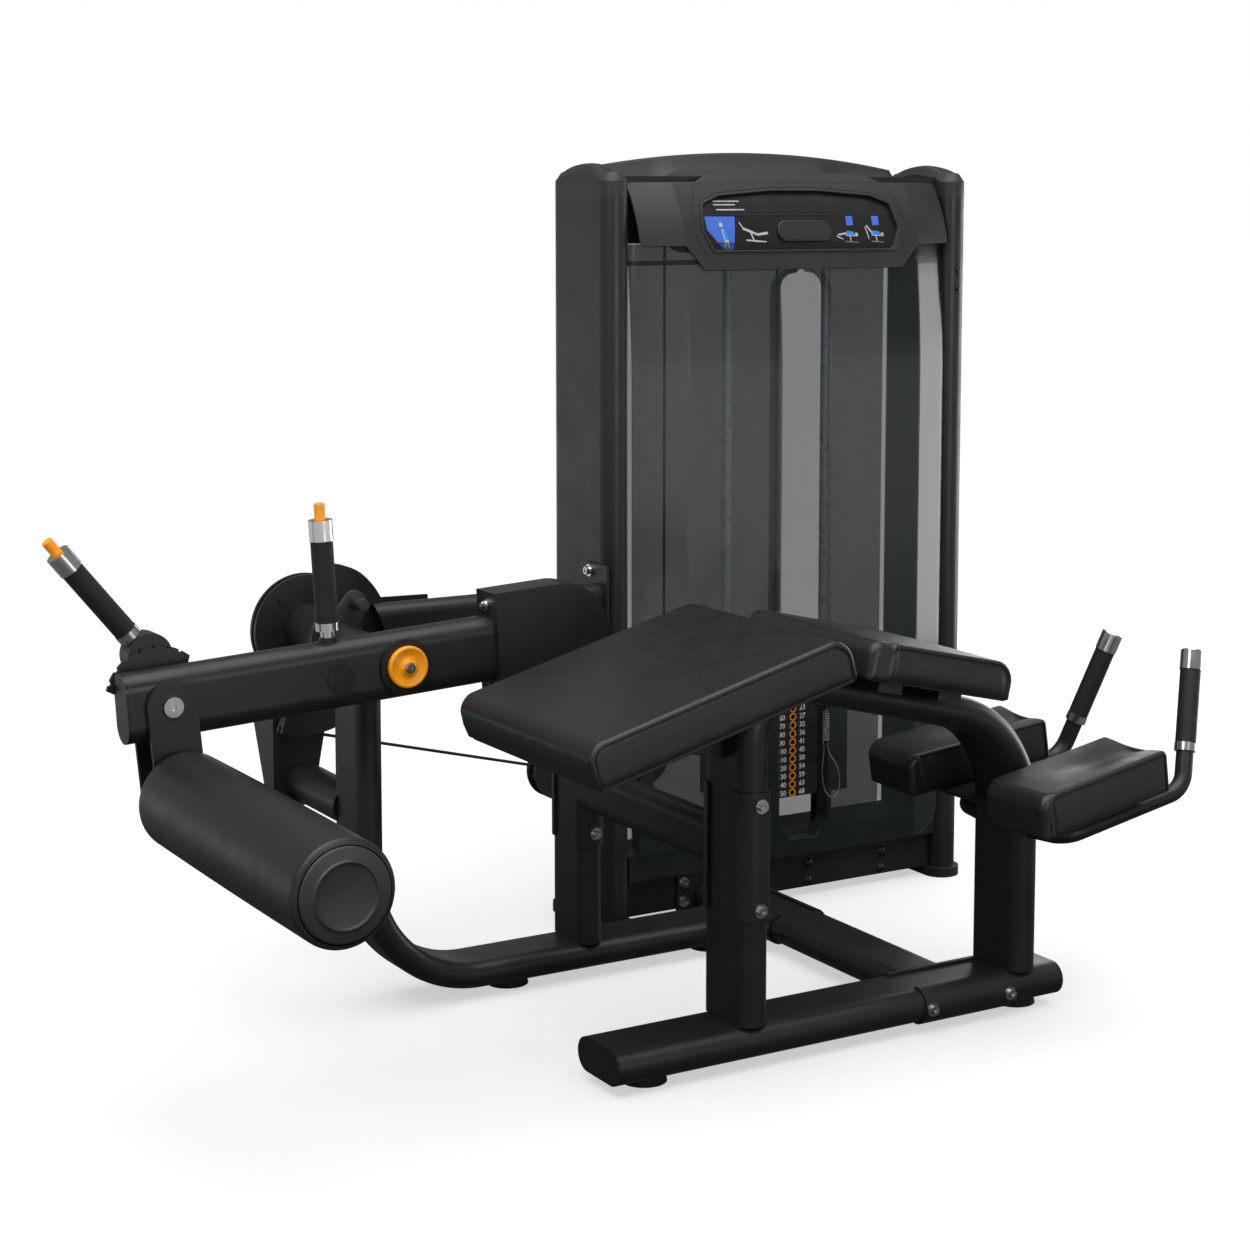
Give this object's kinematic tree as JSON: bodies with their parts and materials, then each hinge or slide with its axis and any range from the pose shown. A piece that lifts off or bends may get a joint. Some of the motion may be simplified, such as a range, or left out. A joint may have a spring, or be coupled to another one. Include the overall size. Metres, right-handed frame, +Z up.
{
  "type": "lying leg curl machine",
  "caption": "Prone leg curl with a sloped bench, elbow pads, swinging roller arm, spiral cam and a selectorised weight tower",
  "frame": {"origin": "on the floor, under the middle of the machine's outline", "axes": "+X towards the user's head, +Y from the bench to the weight tower, +Z up"},
  "size_m": [2.1312, 1.2663, 1.579],
  "materials": {
    "frame_paint": "satin textured powder coat",
    "bright_steel": "zinc plated",
    "chrome": "polished",
    "rubber": "matte",
    "black_plastic": "fine grain",
    "gloss_plastic": "glossy",
    "smoked_plastic": "smoked, clear",
    "stack_paint": "black paint",
    "cable_sheath": "plastic sheath",
    "pulley_plastic": "nylon",
    "orange_plastic": "glossy",
    "grip_rubber": "ribbed",
    "pad_vinyl": "grained vinyl",
    "cord_plastic": "glossy"
  },
  "bodies": {
    "frame": {"front_foot": "frame_paint", "rubber_feet": "rubber", "front_post": "frame_paint", "bench_rail": "frame_paint", "head_post": "frame_paint", "pivot_post": "frame_paint", "rear_base": "frame_paint", "mid_post": "frame_paint", "joint_plates": "frame_paint", "frame_bolts": "bright_steel", "rear_bearing_bracket": "frame_paint", "side_beam": "frame_paint", "tower_uprights": "frame_paint", "upright_caps": "black_plastic", "tower_rails": "frame_paint", "end_caps": "black_plastic", "header_cover": "black_plastic", "badge_panel": "gloss_plastic", "tower_shroud": "smoked_plastic", "guide_rods": "chrome", "stack_bumpers": "rubber", "stack_plates_resting": "stack_paint", "drive_cable": "cable_sheath", "pulley_hangers": "bright_steel", "cable_guide": "pulley_plastic", "thigh_pad": "pad_vinyl", "torso_pad": "pad_vinyl", "elbow_pads": "pad_vinyl", "pad_supports": "frame_paint", "grip_tubes": "frame_paint", "grip_collars": "chrome", "hand_grips": "grip_rubber"},
    "lever": {"lever_tube": "frame_paint", "pivot_shaft": "bright_steel", "cam": "frame_paint", "stop_plate": "bright_steel", "counterweight": "frame_paint", "knee_marker": "orange_plastic", "lever_plugs": "black_plastic", "start_handle": "chrome", "start_grip": "grip_rubber", "lock_sector": "bright_steel", "lever_bolts": "bright_steel"},
    "start_pull": {"start_pull_pin": "orange_plastic"},
    "roller_arm": {"roller_bracket": "frame_paint", "adjust_handle": "chrome", "adjust_grip": "grip_rubber"},
    "adjust_pull": {"adjust_pull_pin": "orange_plastic"},
    "roller": {"roller_cushion": "pad_vinyl", "roller_core": "black_plastic"},
    "stack": {"stack_plates_lifted": "stack_paint", "selector_stem": "bright_steel", "cable_drop": "cable_sheath"},
    "pin": {"selector_pin": "gloss_plastic", "lanyard_coil": "cord_plastic", "lanyard_wire": "cord_plastic"},
    "wheel_low": {"pulley_low": "pulley_plastic"},
    "wheel_top_left": {"pulley_top_left": "pulley_plastic"},
    "wheel_top_right": {"pulley_top_right": "pulley_plastic"}
  },
  "joints": [
    {"name": "knee_hinge", "type": "hinge", "parent": "frame", "child": "lever", "pos_m": [-0.45815, 0.06775, 0.677], "axis": [0, 1, 0], "range_deg": [0, 110]},
    {"name": "start_pull_slide", "type": "slide", "parent": "lever", "child": "start_pull", "axis": [-0.0569, 0, 0.9984], "range_m": [0, 0.012], "stiffness_N_per_m": 600},
    {"name": "roller_arm_hinge", "type": "hinge", "parent": "lever", "child": "roller_arm", "pos_m": [-0.88515, 0.06775, 0.652], "axis": [0, 1, 0], "range_deg": [-20, 40]},
    {"name": "adjust_pull_slide", "type": "slide", "parent": "roller_arm", "child": "adjust_pull", "axis": [-0.6303, 0, 0.7764], "range_m": [0, 0.012], "stiffness_N_per_m": 600},
    {"name": "roller_spin", "type": "hinge", "parent": "roller_arm", "child": "roller", "pos_m": [-0.87015, -0.30725, 0.495], "axis": [0, 1, 0], "continuous": true},
    {"name": "stack_slide", "type": "slide", "parent": "frame", "child": "stack", "axis": [0, 0, 1], "range_m": [0, 0.345], "deforming": ["cable_drop"]},
    {"name": "pin_slide", "type": "slide", "parent": "stack", "child": "pin", "axis": [0, -1, 0], "range_m": [0, 0.09]},
    {"name": "wheel_low_spin", "type": "hinge", "parent": "frame", "child": "wheel_low", "pos_m": [0.28385, 0.46575, 0.34071], "axis": [0, 1, 0], "range_deg": [-5, 400]},
    {"name": "wheel_top_left_spin", "type": "hinge", "parent": "frame", "child": "wheel_top_left", "pos_m": [0.38385, 0.46575, 1.43], "axis": [0, 1, 0], "range_deg": [-400, 5]},
    {"name": "wheel_top_right_spin", "type": "hinge", "parent": "frame", "child": "wheel_top_right", "pos_m": [0.55885, 0.46575, 1.43], "axis": [0, 1, 0], "range_deg": [-400, 5]}
  ],
  "couplings": [
    {"joint": "stack_slide", "follows": "knee_hinge", "m_per_rad": 0.175},
    {"joint": "wheel_low_spin", "follows": "knee_hinge", "ratio": 3.5},
    {"joint": "wheel_top_left_spin", "follows": "knee_hinge", "ratio": -3.5},
    {"joint": "wheel_top_right_spin", "follows": "knee_hinge", "ratio": -3.5}
  ]
}
